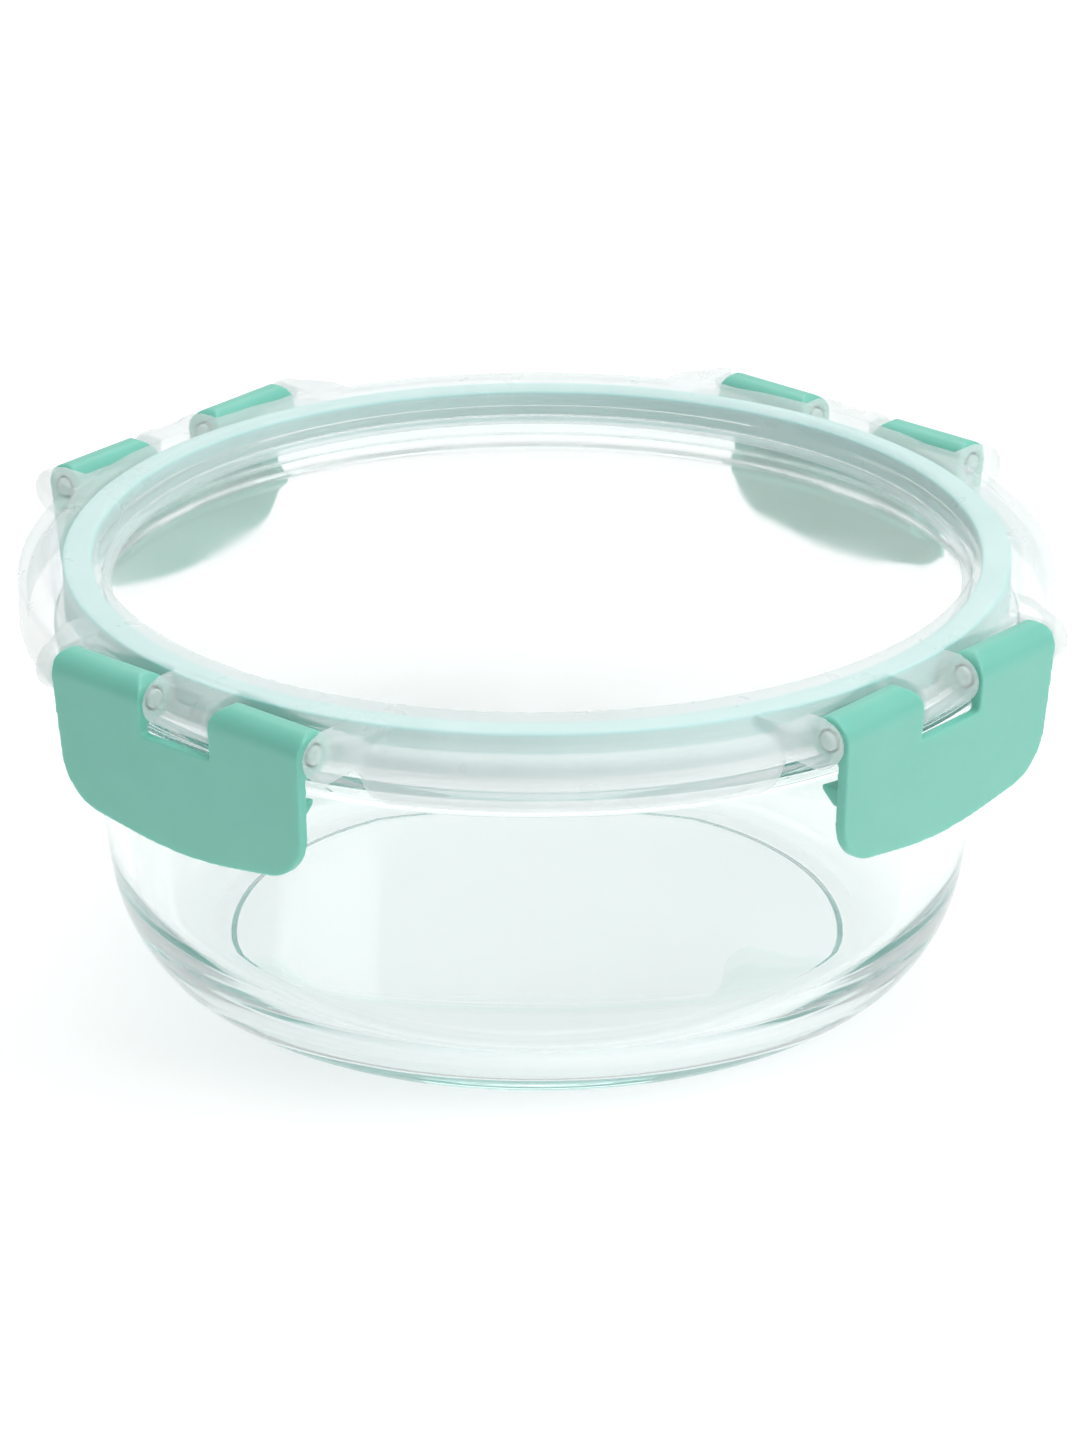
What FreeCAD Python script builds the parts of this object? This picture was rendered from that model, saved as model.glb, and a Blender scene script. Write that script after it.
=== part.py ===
import FreeCAD, Part
import math
import os
import Sketcher

# Round glass food container with a four-latch snap lid, in millimetres.
# The bowl's axis is Z and its foot stands on Z = 0. The latches face +X, +Y, -X and -Y,
# and the lid's four finger tabs lie on the diagonals between them.
# Each latch hangs closed but not yet pressed home, so its ridge is just clear of the flange.

DIMENSIONS = {
    # glass bowl: radii from the axis and heights above the table
    "foot_inner_radius": 44.5,
    "foot_recess": 0.7,
    "foot_edge_width": 0.8,
    "foot_edge_round": 0.6,
    "wall_radius_at_table": 60.65,
    "wall_lean": 0.13,
    "wall_top": 49.8,
    "wall_top_round": 3.0,
    "heel_radius": 54.6,
    "heel_height": 9.9,
    "heel_round_low": 12.2,
    "heel_round_high": 23.0,
    "flange_radius": 70.0,
    "flange_bottom": 51.4,
    "flange_top": 52.9,
    "flange_round": 0.6,
    "flange_fillet": 0.8,
    "flange_fillet_width": 0.5,
    "flange_fillet_rise": 0.4,
    "neck_radius": 67.3,
    "rim_height": 59.6,
    "rim_thickness": 2.8,
    "rim_round": 1.2,
    "inner_neck_rise": 4.0,
    "inner_wall_round": 20.0,
    "glass_floor": 4.5,
    "glass_wall": 3.1,
    "inner_heel_inset": 2.1,
    "inner_heel_height": 13.5,
    "inner_heel_round": 9.5,
    # lid frame
    "lid_top": 63.75,
    "lid_skin": 1.4,
    "window_radius": 62.9,
    "window_gap": 0.05,
    "window_top": 59.2,
    "window_thickness": 1.3,
    "window_edge_round": 0.3,
    "ledge_width": 1.6,
    "ledge_thickness": 0.9,
    "ledge_round": 0.3,
    "crest_round": 1.7,
    "ring_flat_radius": 68.7,
    "ring_shoulder_round": 3.0,
    "ring_edge_radius": 70.5,
    "ring_edge_drop": 0.55,
    "ring_edge_round": 0.5,
    "channel_inner_radius": 64.2,
    "channel_outer_radius": 68.5,
    "channel_bottom": 55.3,
    "channel_foot_radius": 69.7,
    "channel_foot_round": 0.4,
    # finger tabs between the latches
    "tab_angle": 46.4,
    "tab_root_overlap": 0.3,
    "tab_root_round": 0.4,
    "tab_step_radius": 71.5,
    "tab_step_drop": 2.15,
    "tab_step_round": 0.5,
    "tab_step_inset": 0.4,
    "tab_flange_radius": 73.4,
    "tab_flange_drop": 2.65,
    "tab_flange_inset": 0.6,
    "tab_flange_round": 0.8,
    "tab_radius": 75.0,
    "tab_shoulder_drop": 3.0,
    "tab_shoulder_rise": 0.3,
    "tab_shoulder_round": 1.1,
    "tab_shoulder_inner_round": 0.6,
    "tab_skin": 1.3,
    "skirt_bottom": 53.3,
    "skirt_bead": 0.35,
    "skirt_bead_height": 0.8,
    "skirt_bead_round": 0.5,
    "skirt_inner_tip_round": 0.3,
    "skirt_outer_tip_round": 0.4,
    "skirt_end_top": 29.7,
    "skirt_end_bottom": 27.5,
    "skirt_end_height": 59.5,
    "skirt_end_round": 4.0,
    "skirt_trim_inner": 19.25,
    "skirt_trim_start": 67.4,
    "skirt_trim_length": 20.0,
    # hinges
    "hinge_distance": 72.7,
    "hinge_height": 59.9,
    "bar_radius": 1.7,
    "bar_overlap": 1.0,
    "bore_radius": 1.75,
    "knuckle_radius": 3.4,
    "knuckle_half_width": 6.2,
    "knuckle_round": 0.9,
    "ear_inner": 23.75,
    "ear_outer": 26.8,
    "ear_blend_start": 25.9,
    "ear_blend_end": 29.4,
    "blend_radius": 2.2,
    "blend_inset": 6.0,
    "web_thickness": 2.1,
    "knuckle_web_reach": 2.0,
    "ear_web_reach": 4.2,
    "blend_web_reach": 5.2,
    "chord_distance": 69.05,
    "shelf_inner": 11.0,
    "shelf_drop": 0.9,
    "shelf_thickness": 1.3,
    "shelf_overlap": 0.5,
    "shelf_outer_reach": 5.0,
    "shelf_inner_reach": 1.7,
    "recess_half_width": 3.3,
    "recess_depth": 0.45,
    "recess_angle": 62.0,
    "recess_tilt": 48.0,
    # seal
    "seal_side_gap": 0.05,
    "seal_thickness": 2.4,
    "seal_lip": 0.85,
    "seal_lip_bottom": 55.6,
    "seal_body_round": 0.4,
    "seal_step_round": 0.3,
    "seal_lip_round": 0.35,
    # snap latches, measured from the hinge axis
    "barrel_radius": 3.35,
    "latch_half_top": 23.5,
    "latch_half_bottom": 22.3,
    "latch_side_length": 18.5,
    "latch_length": 21.8,
    "latch_corner_round": 7.8,
    "latch_bottom_round": 60.0,
    "latch_top_round": 1.2,
    "latch_tilt": 4.5,
    "latch_skin": 1.7,
    "latch_foot_round": 0.5,
    "latch_trim": 0.05,
    "notch_half_width": 6.5,
    "notch_bottom": 4.6,
    "notch_top_round": 2.6,
    "notch_bottom_round": 0.6,
    "hook_top": 50.55,
    "hook_height": 2.8,
    "hook_clearance": 0.25,
    "hook_half_width": 18.5,
    "hook_lead": 1.9,
    "hook_depth": 4.0,
}

LATCHES = {"latch_right": 0, "latch_back": 90, "latch_left": 180, "latch_front": 270}
SIDES = len(LATCHES)
CLEAR = 6.0  # how far a cutting outline reaches past the material
NEAR = 1.0  # the same where other material lies close by


class Size:
    """A length with its value and the sheet expression that gives it."""

    def __init__(self, value, text):
        self.value = float(value)
        self.text = text

    def join(self, sign, other, value):
        return Size(value, f"({self.text} {sign} {other.text})")

    def __add__(self, other):
        other = as_size(other)
        return self.join("+", other, self.value + other.value)

    def __sub__(self, other):
        other = as_size(other)
        return self.join("-", other, self.value - other.value)

    def __mul__(self, other):
        other = as_size(other)
        return self.join("*", other, self.value * other.value)

    def __neg__(self):
        return Size(-self.value, f"(0 - {self.text})")


def as_size(number):
    if isinstance(number, Size):
        return number
    return Size(number, repr(float(number)))


doc = FreeCAD.newDocument("snap_lid_container")
sheet = doc.addObject("Spreadsheet::Sheet", "Dims")
for row, (alias, number) in enumerate(DIMENSIONS.items(), start=1):
    sheet.set(f"A{row}", alias)
    sheet.set(f"B{row}", str(number))
    sheet.setAlias(f"B{row}", alias)
doc.recompute()


def dim(alias):
    return Size(DIMENSIONS[alias], f"Dims.{alias}")


def origin_item(body, role):
    return [item for item in body.Origin.OriginFeatures if item.Role == role][0]


def new_body(name):
    body = doc.addObject("PartDesign::Body", name)
    body.Label = name
    return body


def new_sketch(body, name, plane, shift=(0, 0, 0), turn=(0, 1, 0), angle=0):
    """A sketch on one of the body's origin planes, shifted in it and turned about one of its axes."""
    sketch = body.newObject("Sketcher::SketchObject", name)
    sketch.AttachmentSupport = [(origin_item(body, plane), "")]
    sketch.MapMode = "FlatFace"
    shift = [as_size(number) for number in shift]
    angle = as_size(angle)
    base = FreeCAD.Vector(*[size.value for size in shift])
    rotation = FreeCAD.Rotation(FreeCAD.Vector(*turn), angle.value)
    sketch.AttachmentOffset = FreeCAD.Placement(base, rotation)
    for axis, size in zip("xyz", shift):
        if "Dims." in size.text:
            sketch.setExpression(f"AttachmentOffset.Base.{axis}", size.text)
    if "Dims." in angle.text:
        sketch.setExpression("AttachmentOffset.Rotation.Angle", angle.text)
    return sketch


def hold(sketch, kind, geometry, vertex, size):
    """Fix one coordinate of a sketch point, measured from the sketch's origin."""
    if size.value == 0:
        axis = -2 if kind == "DistanceX" else -1
        sketch.addConstraint(Sketcher.Constraint("PointOnObject", geometry, vertex, axis))
        return
    rule = sketch.addConstraint(Sketcher.Constraint(kind, -1, 1, geometry, vertex, size.value))
    sketch.setExpression(f"Constraints[{rule}]", size.text)


def bind_radius(sketch, geometry, size):
    rule = sketch.addConstraint(Sketcher.Constraint("Radius", geometry, size.value))
    sketch.setExpression(f"Constraints[{rule}]", size.text)


def outline(sketch, corners):
    """A closed loop of straight edges through (across, up, rounding) corners, tied to the sheet."""
    spots = [(as_size(corner[0]), as_size(corner[1])) for corner in corners]
    rounds = [as_size(corner[2]) if len(corner) > 2 else None for corner in corners]
    points = [FreeCAD.Vector(across.value, up.value, 0) for across, up in spots]
    count = len(points)
    enters = []
    leaves = []
    for index, point in enumerate(points):
        before = (points[index - 1] - point).normalize()
        after = (points[(index + 1) % count] - point).normalize()
        reach = 0.0
        if rounds[index]:
            reach = rounds[index].value / math.tan(before.getAngle(after) / 2)
        enters.append(point + before * reach)
        leaves.append(point + after * reach)
    edges = []
    for index in range(count):
        edge = Part.LineSegment(leaves[index], enters[(index + 1) % count])
        edges.append(sketch.addGeometry(edge, False))
    for index, (across, up) in enumerate(spots):
        incoming = edges[index - 1]
        outgoing = edges[index]
        if rounds[index] is None:
            rule = Sketcher.Constraint("Coincident", incoming, 2, outgoing, 1)
            sketch.addConstraint(rule)
            hold(sketch, "DistanceX", outgoing, 1, across)
            hold(sketch, "DistanceY", outgoing, 1, up)
            continue
        ends = (enters[index], leaves[index])
        round_corner(sketch, points[index], ends, (incoming, outgoing), rounds[index])
        mark = sketch.addGeometry(Part.Point(points[index]), True)
        hold(sketch, "DistanceX", mark, 1, across)
        hold(sketch, "DistanceY", mark, 1, up)
        sketch.addConstraint(Sketcher.Constraint("PointOnObject", mark, 1, incoming))
        sketch.addConstraint(Sketcher.Constraint("PointOnObject", mark, 1, outgoing))


def round_corner(sketch, corner, ends, edges, radius):
    """The tangent arc that rounds one corner of an outline."""
    start, finish = ends
    middle = (start + finish) * 0.5
    inward = (middle - corner).normalize()
    half = (start - corner).getAngle(middle - corner)
    top = corner + inward * (radius.value / math.sin(half) - radius.value)
    arc = Part.Arc(start, top, finish)
    shape = sketch.addGeometry(arc, False)
    first = sketch.getPoint(shape, 1)
    leads = first.distanceToPoint(start) < first.distanceToPoint(finish)
    near, far = (1, 2) if leads else (2, 1)
    sketch.addConstraint(Sketcher.Constraint("Tangent", edges[0], 2, shape, near))
    sketch.addConstraint(Sketcher.Constraint("Tangent", shape, far, edges[1], 1))
    bind_radius(sketch, shape, radius)


def circle(sketch, radius):
    """A full circle about the sketch's origin."""
    ring = Part.Circle(FreeCAD.Vector(0, 0, 0), FreeCAD.Vector(0, 0, 1), radius.value)
    shape = sketch.addGeometry(ring, False)
    sketch.addConstraint(Sketcher.Constraint("Coincident", shape, 3, -1, 1))
    bind_radius(sketch, shape, radius)


def add_feature(body, kind, name, sketch, **settings):
    """One sketch-based feature; settings given as sizes are bound to the sheet."""
    feature = body.newObject(f"PartDesign::{kind}", name)
    feature.Profile = sketch
    for key, setting in settings.items():
        if isinstance(setting, Size):
            setattr(feature, key, setting.value)
            feature.setExpression(key, setting.text)
        else:
            setattr(feature, key, setting)
    return feature


def turn_feature(body, kind, name, sketch, angle=360, midplane=False):
    """A Revolution or Groove about the sketch's own upright axis."""
    axis = (sketch, ["V_Axis"])
    return add_feature(body, kind, name, sketch, ReferenceAxis=axis, Angle=angle, Midplane=midplane)


def repeat_around(body, name, originals):
    """The same features at all four sides of the lid."""
    pattern = body.newObject("PartDesign::PolarPattern", name)
    pattern.Originals = originals
    pattern.Axis = (origin_item(body, "Z_Axis"), [""])
    pattern.Angle = 360
    pattern.Occurrences = SIDES
    body.Tip = pattern
    return pattern


def wall_at(height, inset=0):
    """Radius of the bowl's leaning wall at a height, outside or inset by the glass thickness."""
    return dim("wall_radius_at_table") + dim("wall_lean") * height - inset


def make_bowl():
    body = new_body("glass_bowl")
    sketch = new_sketch(body, "bowl_section", "XZ_Plane")
    neck = dim("neck_radius")
    rim_inner = neck - dim("rim_thickness")
    wall = dim("glass_wall")
    wall_top = dim("wall_top")
    inner_heel = dim("inner_heel_height")
    fillet = dim("flange_fillet")
    fillet_rise = dim("flange_fillet_rise")
    outline(sketch, [
        (0, dim("foot_recess")),
        (dim("foot_inner_radius"), dim("foot_recess"), dim("foot_edge_round")),
        (dim("foot_inner_radius") + dim("foot_edge_width"), 0, dim("foot_edge_round")),
        (dim("heel_radius"), 0, dim("heel_round_low")),
        (wall_at(dim("heel_height")), dim("heel_height"), dim("heel_round_high")),
        (wall_at(wall_top), wall_top, dim("wall_top_round")),
        (neck + dim("flange_fillet_width"), dim("flange_bottom") - fillet_rise, fillet),
        (dim("flange_radius"), dim("flange_bottom"), dim("flange_round")),
        (dim("flange_radius"), dim("flange_top"), dim("flange_round")),
        (neck, dim("flange_top") + fillet_rise, fillet),
        (neck, dim("rim_height"), dim("rim_round")),
        (rim_inner, dim("rim_height"), dim("rim_round")),
        (rim_inner, wall_top + dim("inner_neck_rise"), dim("inner_wall_round")),
        (wall_at(inner_heel, wall), inner_heel, dim("inner_wall_round")),
        (dim("heel_radius") - dim("inner_heel_inset"), dim("glass_floor"), dim("inner_heel_round")),
        (0, dim("glass_floor")),
    ])
    turn_feature(body, "Revolution", "bowl_glass", sketch)
    return body


def make_seal():
    body = new_body("seal_ring")
    sketch = new_sketch(body, "seal_section", "XZ_Plane")
    gap = dim("seal_side_gap")
    top = dim("lid_top") - dim("lid_skin")
    bottom = top - dim("seal_thickness")
    inner = dim("channel_inner_radius") + gap
    outer = dim("channel_outer_radius") - gap
    lip = outer - dim("seal_lip")
    outline(sketch, [
        (inner, top),
        (inner, bottom, dim("seal_body_round")),
        (lip, bottom, dim("seal_step_round")),
        (lip, dim("seal_lip_bottom"), dim("seal_lip_round")),
        (outer, dim("seal_lip_bottom"), dim("seal_lip_round")),
        (outer, top),
    ])
    turn_feature(body, "Revolution", "seal_silicone", sketch)
    return body


def make_window():
    body = new_body("lid_window")
    sketch = new_sketch(body, "window_section", "XZ_Plane")
    edge = dim("window_radius")
    top = dim("window_top")
    outline(sketch, [
        (0, top - dim("window_thickness")),
        (edge, top - dim("window_thickness")),
        (edge, top, dim("window_edge_round")),
        (0, top),
    ])
    turn_feature(body, "Revolution", "window_panel", sketch)
    return body


def lid_ring(body):
    """The ring before its channel is cut: window well inside, flat top, sloping edge."""
    sketch = new_sketch(body, "ring_section", "XZ_Plane")
    well = dim("window_radius") + dim("window_gap")
    ledge = well - dim("ledge_width")
    seat = dim("window_top") - dim("window_thickness")
    base = seat - dim("ledge_thickness")
    outline(sketch, [
        (ledge, base, dim("ledge_round")),
        (dim("channel_inner_radius"), base),
        (dim("channel_inner_radius"), dim("channel_bottom")),
        (dim("channel_foot_radius"), dim("channel_bottom"), dim("channel_foot_round")),
        (dim("ring_edge_radius"), dim("lid_top") - dim("ring_edge_drop"), dim("ring_edge_round")),
        (dim("ring_flat_radius"), dim("lid_top"), dim("ring_shoulder_round")),
        (well, dim("lid_top"), dim("crest_round")),
        (well, seat),
        (ledge, seat, dim("ledge_round")),
    ])
    return turn_feature(body, "Revolution", "ring", sketch)


def latch_flats(body):
    """Four flats that keep the ring's edge clear of the latch barrels."""
    sketch = new_sketch(body, "flat_plan", "XY_Plane")
    inner = dim("chord_distance")
    outer = dim("hinge_distance") + CLEAR
    half = dim("ear_inner")
    outline(sketch, [(inner, -half), (outer, -half), (outer, half), (inner, half)])
    cut = add_feature(body, "Pocket", "flat", sketch, Type="ThroughAll", Midplane=True)
    return repeat_around(body, "flats", [cut])


def tab_features(body):
    """A stepped finger tab with its hanging skirt, on the first diagonal."""
    top = dim("lid_top")
    skin = dim("tab_skin")
    edge = dim("tab_radius")
    root = dim("channel_foot_radius") - dim("tab_root_overlap")
    step_top = top - dim("tab_step_drop")
    flange_top = top - dim("tab_flange_drop")
    bead = dim("skirt_bottom") + dim("skirt_bead_height")
    section = new_sketch(body, "tab_section", "XZ_Plane", angle=180 / SIDES)
    outline(section, [
        (root, step_top - skin),
        (dim("tab_step_radius") - dim("tab_step_inset"), step_top - skin, dim("tab_step_round")),
        (dim("tab_flange_radius") - dim("tab_flange_inset"), flange_top - skin, dim("tab_flange_round")),
        (edge - skin, top - dim("tab_shoulder_drop") - skin, dim("tab_shoulder_inner_round")),
        (edge - skin, bead, dim("skirt_bead_round")),
        (edge - skin - dim("skirt_bead"), dim("skirt_bottom"), dim("skirt_inner_tip_round")),
        (edge, dim("skirt_bottom"), dim("skirt_outer_tip_round")),
        (edge, flange_top - dim("tab_shoulder_rise"), dim("tab_shoulder_round")),
        (dim("tab_step_radius"), step_top, dim("tab_step_round")),
        (dim("ring_edge_radius"), top - dim("ring_edge_drop"), dim("tab_root_round")),
        (root, top - dim("ring_edge_drop")),
    ])
    tab = turn_feature(body, "Revolution", "tab", section, angle=dim("tab_angle"), midplane=True)
    trims = []
    diagonal = math.radians(180 / SIDES)
    start = dim("skirt_trim_start")
    place = (start * math.sin(diagonal), 0, start * math.cos(diagonal))
    for side, sign in (("left", -1), ("right", 1)):
        view = new_sketch(body, f"skirt_end_{side}", "YZ_Plane", place, angle=180 / SIDES)
        outline(view, [
            (dim("skirt_end_top") * sign, dim("skirt_end_height")),
            (dim("skirt_end_bottom") * sign, dim("skirt_bottom"), dim("skirt_end_round")),
            (dim("skirt_trim_inner") * sign, dim("skirt_bottom")),
            (dim("skirt_trim_inner") * sign, dim("skirt_bottom") - CLEAR),
            ((dim("skirt_end_top") + CLEAR) * sign, dim("skirt_bottom") - CLEAR),
            ((dim("skirt_end_top") + CLEAR) * sign, dim("skirt_end_height")),
        ])
        depth = dim("skirt_trim_length")
        trims.append(add_feature(body, "Pocket", f"skirt_trim_{side}", view, Length=depth, Reversed=True))
    return [tab, *trims]


def hinge_features(body):
    """Centre knuckle, two ears, the bar through them and the webs that carry them, at +X."""
    distance = dim("hinge_distance")
    height = dim("hinge_height")
    half = dim("knuckle_half_width")
    soft = dim("knuckle_round")
    barrels = new_sketch(body, "barrel_plan", "XY_Plane", (distance, 0, height))
    full = dim("knuckle_radius")
    ear = (dim("ear_inner"), dim("ear_outer"))
    for low, high in ((-half, half), ear, (-ear[1], -ear[0])):
        outline(barrels, [(0, low), (full, low, soft), (full, high, soft), (0, high)])
    solid = turn_feature(body, "Revolution", "barrels", barrels)

    bar_view = new_sketch(body, "bar_view", "XZ_Plane", (distance, height, 0))
    circle(bar_view, dim("bar_radius"))
    bar_length = (dim("ear_inner") + dim("bar_overlap")) * 2
    bar = add_feature(body, "Pad", "hinge_bar", bar_view, Length=bar_length, Midplane=True)

    web_top = height + dim("knuckle_radius")
    plan = new_sketch(body, "web_plan", "XY_Plane", (0, 0, web_top))
    root = dim("channel_foot_radius")
    knuckle_root = root - dim("knuckle_web_reach")
    outline(plan, [(knuckle_root, -half), (distance, -half), (distance, half), (knuckle_root, half)])
    blend_end = dim("ear_blend_end")
    blend_radius = dim("blend_radius")
    blend_across = distance - dim("blend_inset")
    for sign in (-1, 1):
        outline(plan, [
            (root - dim("ear_web_reach"), dim("ear_inner") * sign),
            (distance, dim("ear_inner") * sign),
            (distance, dim("ear_blend_start") * sign),
            (blend_across, blend_end * sign),
            (root - dim("blend_web_reach"), blend_end * sign),
        ])
    web = add_feature(body, "Pad", "webs", plan, Length=dim("web_thickness"), Reversed=True)

    blends = []
    for side, sign in (("left", -1), ("right", 1)):
        ear_end = new_sketch(
            body, f"ear_end_{side}", "XZ_Plane", (distance, height, dim("ear_blend_start") * sign)
        )
        circle(ear_end, dim("knuckle_radius"))
        tab_end = new_sketch(
            body, f"tab_end_{side}", "XZ_Plane", (blend_across, web_top - blend_radius, blend_end * sign)
        )
        circle(tab_end, blend_radius)
        blends.append(add_feature(body, "AdditiveLoft", f"ear_blend_{side}", ear_end, Sections=[tab_end]))

    shelf_top = dim("lid_top") - dim("shelf_drop")
    shelf_plan = new_sketch(body, "shelf_plan", "XY_Plane", (0, 0, shelf_top))
    shelf_outer = dim("ear_inner") + dim("shelf_overlap")
    for sign in (-1, 1):
        outline(shelf_plan, [
            (dim("chord_distance"), dim("shelf_inner") * sign),
            (dim("chord_distance"), shelf_outer * sign),
            (root - dim("shelf_outer_reach"), shelf_outer * sign),
            (root - dim("shelf_inner_reach"), dim("shelf_inner") * sign),
        ])
    shelf = add_feature(body, "Pad", "shelves", shelf_plan, Length=dim("shelf_thickness"), Reversed=True)

    recess_view = new_sketch(
        body, "recess_view", "XY_Plane", (distance, 0, height), turn=(0, -1, 0), angle=dim("recess_tilt")
    )
    wide = dim("recess_half_width")
    floor = dim("knuckle_radius") - dim("recess_depth")
    brim = dim("knuckle_radius") + NEAR
    outline(recess_view, [(floor, -wide), (brim, -wide), (brim, wide), (floor, wide)])
    recess = turn_feature(
        body, "Groove", "knuckle_recess", recess_view, angle=dim("recess_angle"), midplane=True
    )
    return [solid, bar, web, *blends, shelf, recess]


def make_lid_frame():
    body = new_body("lid_frame")
    lid_ring(body)
    latch_flats(body)
    repeat_around(body, "tabs", tab_features(body))
    repeat_around(body, "hinges", hinge_features(body))
    channel = new_sketch(body, "channel_section", "XZ_Plane")
    inner = dim("channel_inner_radius")
    outer = dim("channel_outer_radius")
    roof = dim("lid_top") - dim("lid_skin")
    below = dim("channel_bottom") - CLEAR
    outline(channel, [(inner, below), (outer, below), (outer, roof), (inner, roof)])
    turn_feature(body, "Groove", "channel", channel)
    return body


def latch_hook(body):
    """The ridge inside the latch that follows the round flange, with a slanted lead-in below."""
    top = dim("hook_top") - dim("hinge_height")
    half = dim("hook_half_width")
    reach = dim("flange_radius") + dim("hook_clearance")
    back = dim("latch_skin")
    distance = dim("hinge_distance")
    plan = new_sketch(body, "hook_plan", "XY_Plane", (-distance, 0, top))
    swing = math.asin(half.value / reach.value)
    full = Part.Circle(FreeCAD.Vector(0, 0, 0), FreeCAD.Vector(0, 0, 1), reach.value)
    nose = plan.addGeometry(Part.ArcOfCircle(full, -swing, swing), False)
    plan.addConstraint(Sketcher.Constraint("Coincident", nose, 3, -1, 1))
    bind_radius(plan, nose, reach)
    corner_across = reach.value * math.cos(swing)
    back_across = distance + back
    nodes = [
        FreeCAD.Vector(corner_across, half.value, 0),
        FreeCAD.Vector(back_across.value, half.value, 0),
        FreeCAD.Vector(back_across.value, -half.value, 0),
        FreeCAD.Vector(corner_across, -half.value, 0),
    ]
    sides = [plan.addGeometry(Part.LineSegment(nodes[i], nodes[i + 1]), False) for i in range(3)]
    plan.addConstraint(Sketcher.Constraint("Coincident", nose, 2, sides[0], 1))
    plan.addConstraint(Sketcher.Constraint("Coincident", sides[0], 2, sides[1], 1))
    plan.addConstraint(Sketcher.Constraint("Coincident", sides[1], 2, sides[2], 1))
    plan.addConstraint(Sketcher.Constraint("Coincident", sides[2], 2, nose, 1))
    hold(plan, "DistanceY", sides[0], 1, half)
    hold(plan, "DistanceY", sides[2], 2, -half)
    hold(plan, "DistanceX", sides[1], 1, back_across)
    hold(plan, "DistanceY", sides[1], 1, half)
    hold(plan, "DistanceX", sides[1], 2, back_across)
    hold(plan, "DistanceY", sides[1], 2, -half)
    add_feature(body, "Pad", "hook", plan, Length=dim("hook_height"), Reversed=True)

    lead = new_sketch(body, "lead_in_section", "XZ_Plane", (-distance, 0, 0))
    bottom = top - dim("hook_height")
    outline(lead, [
        (reach - dim("hook_depth"), bottom - NEAR),
        (reach + dim("hook_lead") + NEAR, bottom - NEAR),
        (reach - NEAR, bottom + dim("hook_lead") + NEAR),
        (reach - dim("hook_depth"), bottom + dim("hook_lead") + NEAR),
    ])
    turn_feature(body, "Groove", "lead_in", lead)


def make_latch(name, bearing):
    """One snap latch, drawn about its hinge axis and then placed at its side of the lid."""
    body = new_body(name)
    barrel_view = new_sketch(body, "barrel_view", "XZ_Plane")
    circle(barrel_view, dim("barrel_radius"))
    full_width = dim("latch_half_top") * 2
    add_feature(body, "Pad", "barrel", barrel_view, Length=full_width, Midplane=True)

    plate_view = new_sketch(body, "plate_view", "XZ_Plane", turn=(0, 0, -1), angle=dim("latch_tilt"))
    outer = dim("barrel_radius")
    inner = outer - dim("latch_skin")
    foot = -dim("latch_length") - NEAR
    foot_round = dim("latch_foot_round")
    outline(plate_view, [(inner, 0), (inner, foot, foot_round), (outer, foot, foot_round), (outer, 0)])
    add_feature(body, "Pad", "plate", plate_view, Length=full_width, Midplane=True)

    bore_view = new_sketch(body, "bore_view", "XZ_Plane")
    circle(bore_view, dim("bore_radius"))
    add_feature(body, "Pocket", "bore", bore_view, Type="ThroughAll", Midplane=True)

    face = new_sketch(body, "face_view", "YZ_Plane")
    top = outer + dim("latch_trim")
    half = dim("latch_half_top")
    low_half = dim("latch_half_bottom")
    side_end = -dim("latch_side_length")
    soft = dim("latch_top_round")
    corner = dim("latch_corner_round")
    outline(face, [
        (-half, top, soft),
        (half, top, soft),
        (low_half, side_end, corner),
        (0, -dim("latch_length"), dim("latch_bottom_round")),
        (-low_half, side_end, corner),
    ])
    wide = half + CLEAR
    above = outer + CLEAR
    below = foot - CLEAR
    outline(face, [(-wide, above), (wide, above), (wide, below), (-wide, below)])
    add_feature(body, "Pocket", "face_outline", face, Type="ThroughAll", Midplane=True)

    notch = new_sketch(body, "notch_view", "YZ_Plane")
    gap = dim("notch_half_width")
    floor = -dim("notch_bottom")
    flare = gap + dim("notch_top_round") + NEAR
    outline(notch, [
        (-gap, floor, dim("notch_bottom_round")),
        (gap, floor, dim("notch_bottom_round")),
        (gap, outer, dim("notch_top_round")),
        (flare, outer),
        (flare, outer + CLEAR),
        (-flare, outer + CLEAR),
        (-flare, outer),
        (-gap, outer, dim("notch_top_round")),
    ])
    add_feature(body, "Pocket", "notch", notch, Type="ThroughAll", Midplane=True)
    latch_hook(body)

    turn = math.radians(bearing)
    distance = dim("hinge_distance")
    place = [distance * round(math.cos(turn)), distance * round(math.sin(turn)), dim("hinge_height")]
    centre = FreeCAD.Vector(*[size.value for size in place])
    body.Placement = FreeCAD.Placement(centre, FreeCAD.Rotation(FreeCAD.Vector(0, 0, 1), bearing))
    for axis, size in zip("xyz", place):
        body.setExpression(f"Placement.Base.{axis}", size.text)
    return body


bodies = [make_bowl(), make_seal(), make_window(), make_lid_frame()]
for latch_name, latch_bearing in LATCHES.items():
    bodies.append(make_latch(latch_name, latch_bearing))
doc.recompute()

for item in doc.Objects:
    if "Invalid" in item.State or "Error" in item.State:
        raise RuntimeError(f"{item.Name} did not build: {item.State}")
for body in bodies:
    if body.Shape.isNull() or not body.Shape.isValid():
        raise RuntimeError(f"{body.Label} has no valid shape")
    if len(body.Shape.Solids) != 1:
        raise RuntimeError(f"{body.Label} is {len(body.Shape.Solids)} solids")

os.makedirs("parts", exist_ok=True)
for body in bodies:
    body.Shape.exportStep(f"parts/{body.Label}.step")
    print(body.Label, round(body.Shape.Volume / 1000, 2), "cm3", body.Shape.BoundBox)
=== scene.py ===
"""The round glass food container with the snap lid: materials, finished meshes, studio and camera."""

import bmesh
import bpy
import math
from mathutils import Matrix, Vector


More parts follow.
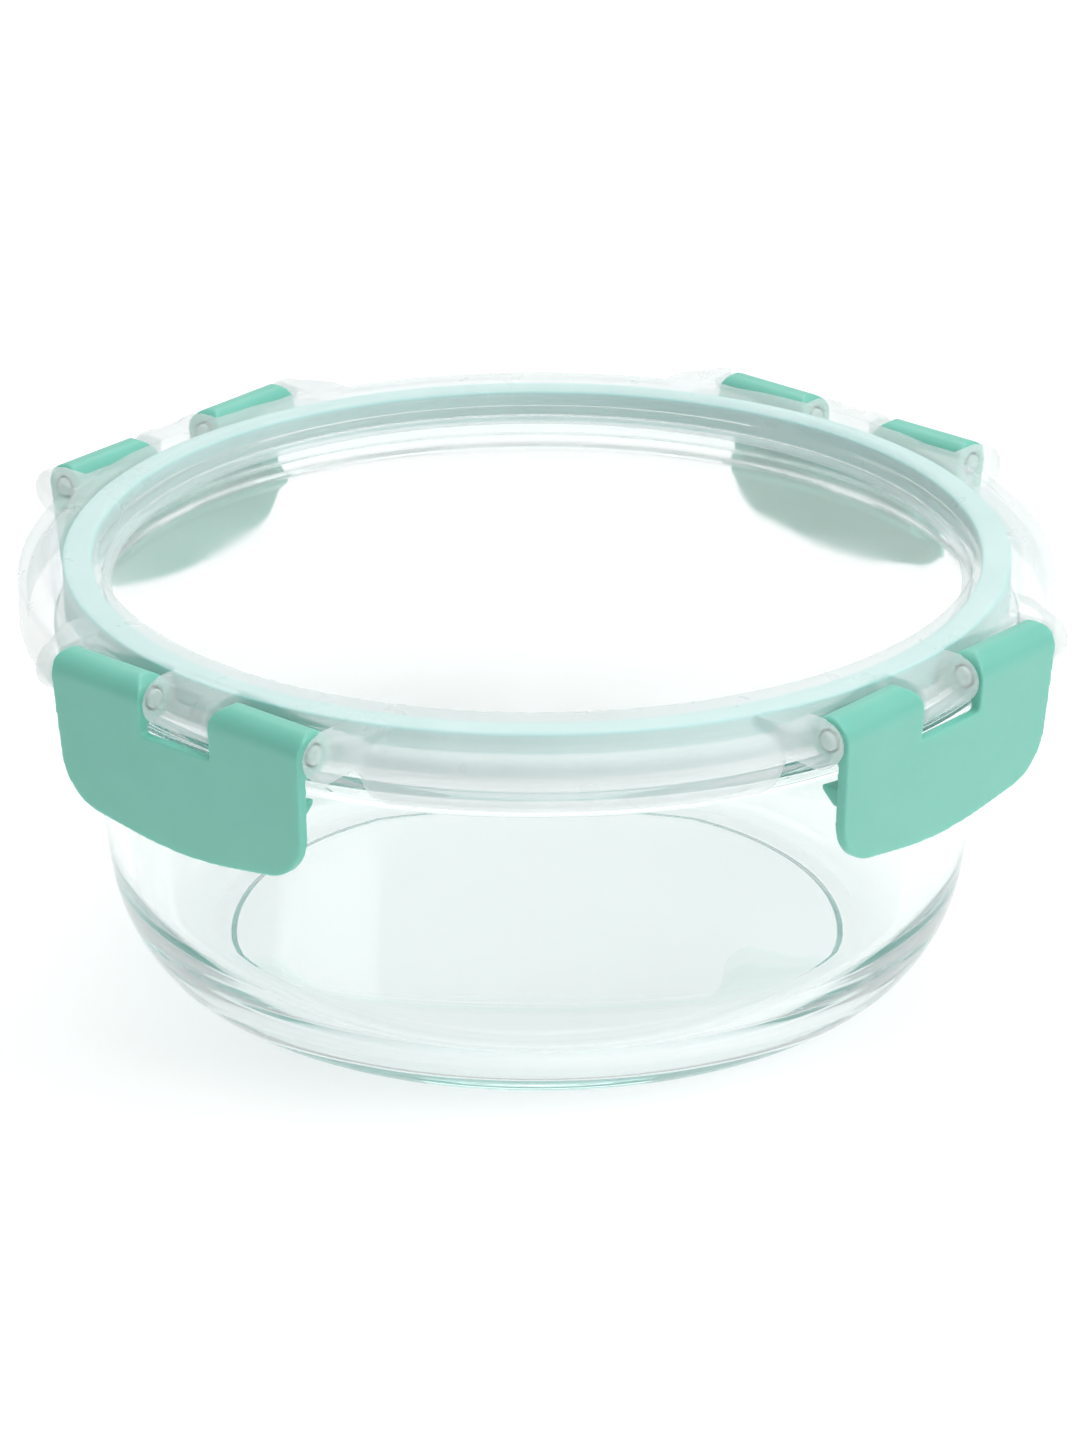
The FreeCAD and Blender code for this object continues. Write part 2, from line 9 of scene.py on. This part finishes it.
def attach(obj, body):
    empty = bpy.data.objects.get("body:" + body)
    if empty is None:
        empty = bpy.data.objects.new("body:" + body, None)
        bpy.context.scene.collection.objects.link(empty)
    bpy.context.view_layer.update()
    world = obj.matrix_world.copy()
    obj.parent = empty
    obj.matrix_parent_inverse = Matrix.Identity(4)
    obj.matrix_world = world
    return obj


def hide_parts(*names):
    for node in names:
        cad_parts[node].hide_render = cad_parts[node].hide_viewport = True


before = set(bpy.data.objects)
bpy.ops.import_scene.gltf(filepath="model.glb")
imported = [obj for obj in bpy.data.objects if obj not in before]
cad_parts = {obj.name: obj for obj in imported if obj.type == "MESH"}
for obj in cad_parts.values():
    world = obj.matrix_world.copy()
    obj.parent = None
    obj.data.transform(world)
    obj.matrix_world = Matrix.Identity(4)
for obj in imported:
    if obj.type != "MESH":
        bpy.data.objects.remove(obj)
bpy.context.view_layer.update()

MM = 0.001

# Camera: it looks down at the object's axis from between the front and the right latch.
CAMERA_BEARING = math.radians(40.95)
CAMERA_DOWN = math.radians(23.235)
CAMERA_REACH = 876.6 * MM
CAMERA_HEIGHT = 411.3 * MM
CAMERA_SIDESTEP = 0.43 * MM
CAMERA_LENS = 163.15
CAMERA_SENSOR = 36

# Bearing of each latch about the object's axis, in degrees from +X.
LATCHES = {"right": 0, "back": 90, "left": 180, "front": 270}

# How finely the turned parts are cut: angle along an arc, length in mm along a run, and steps
# round the axis.
ARC_STEP = math.radians(2.5)
RUN_STEP = 1.8
ROUND_SEGMENTS = 260
BAR_SEGMENTS = 48
ON_AXIS = 1e-7

# Outlines of the turned parts in mm, as the CAD has them: (radius, height, rounding).
# The gasket's top is a hair under the lid's roof, so that the two faces don't coincide.
BOWL_OUTLINE = (
    (0, 0.7),
    (44.5, 0.7, 0.6),
    (45.3, 0, 0.6),
    (54.6, 0, 12.2),
    (61.937, 9.9, 23.0),
    (67.124, 49.8, 3.0),
    (67.8, 51.0, 0.8),
    (70.0, 51.4, 0.6),
    (70.0, 52.9, 0.6),
    (67.3, 53.3, 0.8),
    (67.3, 59.6, 1.2),
    (64.5, 59.6, 1.2),
    (64.5, 53.8, 20.0),
    (59.305, 13.5, 20.0),
    (52.5, 4.5, 9.5),
    (0, 4.5),
)
WINDOW_OUTLINE = ((0, 57.9), (62.9, 57.9, 0.2), (62.9, 59.2, 0.3), (0, 59.2))
SEAL_OUTLINE = (
    (64.25, 62.25, 0.3),
    (64.25, 59.95, 0.4),
    (67.6, 59.95, 0.3),
    (67.6, 55.6, 0.35),
    (68.45, 55.6, 0.35),
    (68.45, 62.25, 0.3),
)

# Solid core of a hinge bar inside a latch barrel, in mm: (radius, distance from the latch's
# middle, rounding).
BAR_OUTLINE = ((0, 6.25), (1.4, 6.25, 0.3), (1.4, 23.7, 0.3), (0, 23.7))
HINGE_DISTANCE = 72.7
HINGE_HEIGHT = 59.9

# The part of a noise pattern's range that a shade or a shader value is spread over.
NOISE_LOW = 0.3
NOISE_HIGH = 0.7

# Light may cross many faces of glass and clear plastic on its way.
SOLID_BOUNCES = 40
CLEAR_LAYERS = 24

# Height that the lamps are aimed at.
AIM_HEIGHT = 30 * MM


# ---------------------------------------------------------------- materials

def new_material(name):
    """A node material and its Principled shader."""
    material = bpy.data.materials.new(name)
    material.use_nodes = True
    shader = material.node_tree.nodes["Principled BSDF"]
    return material, shader


def noise(material, scale, detail):
    """A noise pattern fixed to the object, with scale in features per metre."""
    tree = material.node_tree
    place = tree.nodes.new("ShaderNodeTexCoord")
    pattern = tree.nodes.new("ShaderNodeTexNoise")
    pattern.inputs["Scale"].default_value = scale
    pattern.inputs["Detail"].default_value = detail
    tree.links.new(place.outputs["Object"], pattern.inputs["Vector"])
    return pattern


def spread(material, pattern, low, high, socket):
    """Drive a shader input between two values with a pattern."""
    tree = material.node_tree
    remap = tree.nodes.new("ShaderNodeMapRange")
    remap.inputs["From Min"].default_value = NOISE_LOW
    remap.inputs["From Max"].default_value = NOISE_HIGH
    remap.inputs["To Min"].default_value = low
    remap.inputs["To Max"].default_value = high
    tree.links.new(pattern.outputs["Fac"], remap.inputs["Value"])
    tree.links.new(remap.outputs["Result"], socket)


def tint(material, pattern, first, second, socket):
    """Vary a colour between two shades with a pattern."""
    tree = material.node_tree
    ramp = tree.nodes.new("ShaderNodeValToRGB")
    ramp.color_ramp.elements[0].position = NOISE_LOW
    ramp.color_ramp.elements[0].color = (*first, 1)
    ramp.color_ramp.elements[1].position = NOISE_HIGH
    ramp.color_ramp.elements[1].color = (*second, 1)
    tree.links.new(pattern.outputs["Fac"], ramp.inputs["Fac"])
    tree.links.new(ramp.outputs["Color"], socket)


def relief(material, shader, pattern, depth):
    """Shallow surface relief from a pattern, depth in metres."""
    tree = material.node_tree
    bump = tree.nodes.new("ShaderNodeBump")
    bump.inputs["Strength"].default_value = 1.0
    bump.inputs["Distance"].default_value = depth
    tree.links.new(pattern.outputs["Fac"], bump.inputs["Height"])
    tree.links.new(bump.outputs["Normal"], shader.inputs["Normal"])


def let_light_through(material, shader, share):
    """Lamps and bounced light reach what lies behind; share is what one surface passes."""
    tree = material.node_tree
    path = tree.nodes.new("ShaderNodeLightPath")
    clear = tree.nodes.new("ShaderNodeBsdfTransparent")
    clear.inputs["Color"].default_value = (*share, 1)
    seen = shader.outputs["BSDF"]
    for kind in ("Is Diffuse Ray", "Is Shadow Ray"):
        mix = tree.nodes.new("ShaderNodeMixShader")
        tree.links.new(path.outputs[kind], mix.inputs["Fac"])
        tree.links.new(seen, mix.inputs[1])
        tree.links.new(clear.outputs["BSDF"], mix.inputs[2])
        seen = mix.outputs["Shader"]
    tree.links.new(seen, tree.nodes["Material Output"].inputs["Surface"])


def pressed_glass():
    """Clear pressed glass: faint waviness and an aqua tint that only shows through long paths."""
    material, shader = new_material("pressed_glass")
    shader.inputs["Base Color"].default_value = (0.985, 1.0, 0.995, 1)
    shader.inputs["Transmission Weight"].default_value = 1.0
    shader.inputs["IOR"].default_value = 1.47
    spread(material, noise(material, 60, 4), 0.0, 0.02, shader.inputs["Roughness"])
    relief(material, shader, noise(material, 45, 1), 0.03 * MM)
    tree = material.node_tree
    depth = tree.nodes.new("ShaderNodeVolumeAbsorption")
    depth.inputs["Color"].default_value = (0.70, 0.88, 0.86, 1)
    depth.inputs["Density"].default_value = 12.0
    tree.links.new(depth.outputs["Volume"], tree.nodes["Material Output"].inputs["Volume"])
    let_light_through(material, shader, (0.95, 0.955, 0.955))
    return material


def frosted_plastic():
    """Milky translucent polypropylene: a pale veil that the gasket and the glass show through."""
    material, shader = new_material("frosted_plastic")
    tint(
        material, noise(material, 90, 3),
        (0.76, 0.83, 0.82), (0.83, 0.88, 0.87), shader.inputs["Base Color"],
    )
    shader.inputs["Alpha"].default_value = 0.34
    spread(material, noise(material, 150, 3), 0.26, 0.36, shader.inputs["Roughness"])
    relief(material, shader, noise(material, 700, 2), 0.002 * MM)
    let_light_through(material, shader, (0.92, 0.93, 0.93))
    return material


def milky_core_painted_shade():
    """The same plastic where it is thick and solid, so that hardly anything shows through, darkened
    with painted shade for the bar ends inside the knuckles.
    """
    material, shader = new_material("milky_core_painted_shade")
    # Painted shade: these shades are darker than the lid plastic's, standing for the shade on the bar
    # ends inside the knuckles.
    tint(
        material, noise(material, 90, 3),
        (0.44, 0.62, 0.57), (0.50, 0.67, 0.62), shader.inputs["Base Color"],
    )
    shader.inputs["Subsurface Weight"].default_value = 0.6
    shader.inputs["Subsurface Radius"].default_value = (0.9, 1.0, 1.0)
    shader.inputs["Subsurface Scale"].default_value = 3.0 * MM
    spread(material, noise(material, 150, 3), 0.3, 0.4, shader.inputs["Roughness"])
    return material


def clear_plastic():
    """The window panel: clear, with a faint haze and soft flow marks."""
    material, shader = new_material("clear_plastic")
    tint(
        material, noise(material, 30, 2),
        (0.97, 0.98, 0.98), (0.99, 1.0, 1.0), shader.inputs["Base Color"],
    )
    shader.inputs["Transmission Weight"].default_value = 0.95
    shader.inputs["IOR"].default_value = 1.47
    spread(material, noise(material, 70, 4), 0.03, 0.09, shader.inputs["Roughness"])
    relief(material, shader, noise(material, 22, 1), 0.02 * MM)
    let_light_through(material, shader, (0.94, 0.945, 0.945))
    return material


def aqua_silicone():
    """Soft matt silicone of the gasket, which glows a little where it is thin."""
    material, shader = new_material("aqua_silicone")
    tint(
        material, noise(material, 120, 3),
        (0.36, 0.70, 0.67), (0.42, 0.75, 0.72), shader.inputs["Base Color"],
    )
    shader.inputs["Subsurface Weight"].default_value = 0.3
    shader.inputs["Subsurface Radius"].default_value = (0.5, 1.0, 1.0)
    shader.inputs["Subsurface Scale"].default_value = 1.5 * MM
    spread(material, noise(material, 500, 3), 0.45, 0.6, shader.inputs["Roughness"])
    relief(material, shader, noise(material, 1400, 2), 0.01 * MM)
    return material


def mint_plastic():
    """Satin moulded polypropylene of the latches, which lets a little light through its skin."""
    material, shader = new_material("mint_plastic")
    tint(
        material, noise(material, 55, 3),
        (0.175, 0.525, 0.425), (0.195, 0.555, 0.455), shader.inputs["Base Color"],
    )
    shader.inputs["Subsurface Weight"].default_value = 0.35
    shader.inputs["Subsurface Radius"].default_value = (0.5, 1.0, 0.9)
    shader.inputs["Subsurface Scale"].default_value = 2.5 * MM
    spread(material, noise(material, 350, 4), 0.30, 0.40, shader.inputs["Roughness"])
    relief(material, shader, noise(material, 1600, 2), 0.008 * MM)
    return material


# ---------------------------------------------------------------- finished meshes

def rounded(corners):
    """Points of an outline of (across, up, rounding) corners in mm, with fine arcs at its corners."""
    spots = [Vector((corner[0], corner[1])) for corner in corners]
    points = []
    for index, spot in enumerate(spots):
        radius = corners[index][2] if len(corners[index]) > 2 else 0
        if not radius:
            points.append(spot)
            continue
        before = (spots[index - 1] - spot).normalized()
        after = (spots[(index + 1) % len(spots)] - spot).normalized()
        half = before.angle(after) / 2
        centre = spot + (before + after).normalized() * (radius / math.sin(half))
        reach = radius / math.tan(half)
        start = spot + before * reach - centre
        finish = spot + after * reach - centre
        turn = math.pi - 2 * half
        steps = math.ceil(max(turn / ARC_STEP, radius * turn / RUN_STEP))
        for step in range(steps + 1):
            share = step / steps
            weight_start = math.sin((1 - share) * turn) / math.sin(turn)
            weight_finish = math.sin(share * turn) / math.sin(turn)
            points.append(centre + start * weight_start + finish * weight_finish)
    return points


def divided(points):
    """The same outline with its long straight runs cut short, so that the shading stays true."""
    fine = []
    for index, point in enumerate(points):
        before = points[index - 1]
        if index:
            pieces = math.ceil((point - before).length / RUN_STEP)
            fine += [before.lerp(point, step / pieces) for step in range(1, pieces)]
        fine.append(point)
    return fine


def lathe(name, corners, segments=ROUND_SEGMENTS):
    """A smooth solid of revolution about the object's axis from an outline in mm."""
    points = divided(rounded(corners))
    build = bmesh.new()
    rings = []
    for point in points:
        radius, height = point.x * MM, point.y * MM
        if radius < ON_AXIS:
            rings.append([build.verts.new((0, 0, height))])
            continue
        ring = []
        for step in range(segments):
            angle = 2 * math.pi * step / segments
            ring.append(build.verts.new((radius * math.cos(angle), radius * math.sin(angle), height)))
        rings.append(ring)
    for index, ring in enumerate(rings):
        other = rings[index - 1]
        if len(ring) == 1 and len(other) == 1:
            continue
        for step in range(segments):
            after = (step + 1) % segments
            if len(ring) == 1:
                corners_here = (ring[0], other[step], other[after])
            elif len(other) == 1:
                corners_here = (ring[after], ring[step], other[0])
            else:
                corners_here = (ring[after], ring[step], other[step], other[after])
            build.faces.new(corners_here)
    bmesh.ops.recalc_face_normals(build, faces=build.faces)
    mesh = bpy.data.meshes.new(name)
    build.to_mesh(mesh)
    build.free()
    mesh.shade_smooth()
    return mesh


def bar_cores(name):
    """The hinge bars' solid cores, two for each latch, as one mesh."""
    core = lathe("bar_core", BAR_OUTLINE, BAR_SEGMENTS)
    build = bmesh.new()
    for bearing in LATCHES.values():
        to_latch = Matrix.Rotation(math.radians(bearing), 4, "Z")
        to_hinge = Matrix.Translation((HINGE_DISTANCE * MM, 0, HINGE_HEIGHT * MM))
        for end in (1, -1):
            along = Matrix.Rotation(end * math.pi / 2, 4, "X")
            first = len(build.verts)
            build.from_mesh(core)
            build.verts.ensure_lookup_table()
            bmesh.ops.transform(build, matrix=to_latch @ to_hinge @ along, verts=build.verts[first:])
    mesh = bpy.data.meshes.new(name)
    build.to_mesh(mesh)
    build.free()
    mesh.shade_smooth()
    bpy.data.meshes.remove(core)
    return mesh


def softened(name, node, voxel, passes, keep=1.0):
    """A CAD node's shape with its sharp edges worn round, as a moulded part comes from its tool.

    voxel is in mm, passes is how often it is smoothed, and keep is the share of its faces that stay.
    """
    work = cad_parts[node].copy()
    work.data = work.data.copy()
    work.parent = None
    work.matrix_world = Matrix.Identity(4)
    bpy.context.scene.collection.objects.link(work)
    remesh = work.modifiers.new("remesh", "REMESH")
    remesh.mode = "VOXEL"
    remesh.voxel_size = voxel * MM
    remesh.use_smooth_shade = True
    smooth = work.modifiers.new("smooth", "SMOOTH")
    smooth.factor = 0.5
    smooth.iterations = passes
    if keep < 1:
        thin = work.modifiers.new("thin", "DECIMATE")
        thin.ratio = keep
    bpy.context.view_layer.update()
    mesh = bpy.data.meshes.new_from_object(work.evaluated_get(bpy.context.evaluated_depsgraph_get()))
    mesh.name = name
    mesh.materials.clear()
    bpy.data.objects.remove(work)
    return mesh


def place(name, mesh, material, body, slot, node, bearing=0.0):
    """A finished piece that stands for a CAD node, or for part of one where node is None."""
    if not mesh.materials:
        mesh.materials.append(material)
    piece = bpy.data.objects.new(name, mesh)
    piece.rotation_euler = (0, 0, bearing)
    bpy.context.scene.collection.objects.link(piece)
    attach(piece, body)
    if node:
        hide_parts(node)


# ---------------------------------------------------------------- studio

def studio_sweep():
    """A pale floor that curves up into a backdrop behind the object."""
    width = 6.0
    depth_front = 3.0
    depth_back = 2.6
    curve = 1.2
    curve_steps = 16
    top = 3.0
    profile = [(-depth_front, 0.0), (depth_back - curve, 0.0)]
    for step in range(1, curve_steps + 1):
        angle = math.pi / 2 * step / curve_steps
        profile.append((depth_back - curve + curve * math.sin(angle), curve - curve * math.cos(angle)))
    profile.append((depth_back, top))
    vertices = []
    for along, up in profile:
        vertices += [(-width / 2, along, up), (width / 2, along, up)]
    faces = [(2 * i, 2 * i + 1, 2 * i + 3, 2 * i + 2) for i in range(len(profile) - 1)]
    mesh = bpy.data.meshes.new("studio_sweep")
    mesh.from_pydata(vertices, [], faces)
    mesh.shade_smooth()
    sweep = bpy.data.objects.new("studio_sweep", mesh)
    sweep.rotation_euler = (0, 0, CAMERA_BEARING)
    bpy.context.scene.collection.objects.link(sweep)
    material, shader = new_material("studio_paper")
    shader.inputs["Base Color"].default_value = (0.93, 0.93, 0.93, 1)
    shader.inputs["Roughness"].default_value = 0.6
    shader.inputs["Specular IOR Level"].default_value = 0.2
    shader.inputs["Emission Color"].default_value = (1, 1, 1, 1)
    shader.inputs["Emission Strength"].default_value = 0.15
    mesh.materials.append(material)


def softbox(name, bearing, reach, height, size, power):
    """A square soft light aimed at the object, bearing in degrees from the camera towards its right.

    reach, height and size are in metres, and power is in watts.
    """
    data = bpy.data.lights.new(name, "AREA")
    data.shape = "SQUARE"
    data.size = size
    data.energy = power
    lamp = bpy.data.objects.new(name, data)
    turn = CAMERA_BEARING + math.radians(bearing)
    lamp.location = (reach * math.sin(turn), -reach * math.cos(turn), height)
    aim = Vector((0, 0, AIM_HEIGHT)) - lamp.location
    lamp.rotation_euler = aim.to_track_quat("-Z", "Y").to_euler()
    bpy.context.scene.collection.objects.link(lamp)


def daylight():
    """Even white light from all round."""
    world = bpy.data.worlds.new("studio")
    bpy.context.scene.world = world
    world.use_nodes = True
    background = world.node_tree.nodes["Background"]
    background.inputs["Color"].default_value = (1.0, 1.0, 1.0, 1)
    background.inputs["Strength"].default_value = 0.3


def aim_camera():
    """The camera, at the constants' bearing and height."""
    data = bpy.data.cameras.new("camera")
    data.sensor_width = CAMERA_SENSOR
    data.lens = CAMERA_LENS
    camera = bpy.data.objects.new("camera", data)
    sine, cosine = math.sin(CAMERA_BEARING), math.cos(CAMERA_BEARING)
    camera.location = (
        CAMERA_REACH * sine + CAMERA_SIDESTEP * cosine,
        -CAMERA_REACH * cosine + CAMERA_SIDESTEP * sine,
        CAMERA_HEIGHT,
    )
    camera.rotation_euler = (math.pi / 2 - CAMERA_DOWN, 0, CAMERA_BEARING)
    bpy.context.scene.collection.objects.link(camera)
    bpy.context.scene.camera = camera


aim_camera()
daylight()
studio_sweep()
softbox("key_right", bearing=70, reach=1.0, height=1.0, size=0.7, power=8.2)
softbox("top", bearing=0, reach=0.15, height=1.5, size=1.6, power=14.5)
softbox("back", bearing=180, reach=1.3, height=1.6, size=0.9, power=5.0)

glass = lathe("bowl_glass", BOWL_OUTLINE)
place("bowl_glass", glass, pressed_glass(), "bowl", "clear_glass", "glass_bowl")
window = lathe("window_panel", WINDOW_OUTLINE)
place("window_panel", window, clear_plastic(), "lid", "clear_window", "lid_window")
seal = lathe("seal_silicone", SEAL_OUTLINE)
place("seal_silicone", seal, aqua_silicone(), "lid", "aqua_silicone", "seal_ring")
lid = softened("lid_shell", "lid_frame", voxel=0.34, passes=4, keep=0.28)
place("lid_shell", lid, frosted_plastic(), "lid", "frosted_lid", "lid_frame")
place("hinge_bars", bar_cores("hinge_bars"), milky_core_painted_shade(), "lid", "frosted_lid", None)
flap = softened("latch_flap", "latch_right", voxel=0.2, passes=6)
mint = mint_plastic()
for side, bearing in LATCHES.items():
    place(f"snap_latch_{side}", flap, mint, f"latch_{side}_body", "mint_latch", f"latch_{side}",
          math.radians(bearing))

cycles = bpy.context.scene.cycles
cycles.max_bounces = SOLID_BOUNCES
cycles.transmission_bounces = SOLID_BOUNCES
cycles.glossy_bounces = SOLID_BOUNCES
cycles.transparent_max_bounces = CLEAR_LAYERS
cycles.caustics_refractive = False
cycles.caustics_reflective = False
bpy.context.scene.view_settings.view_transform = "Standard"
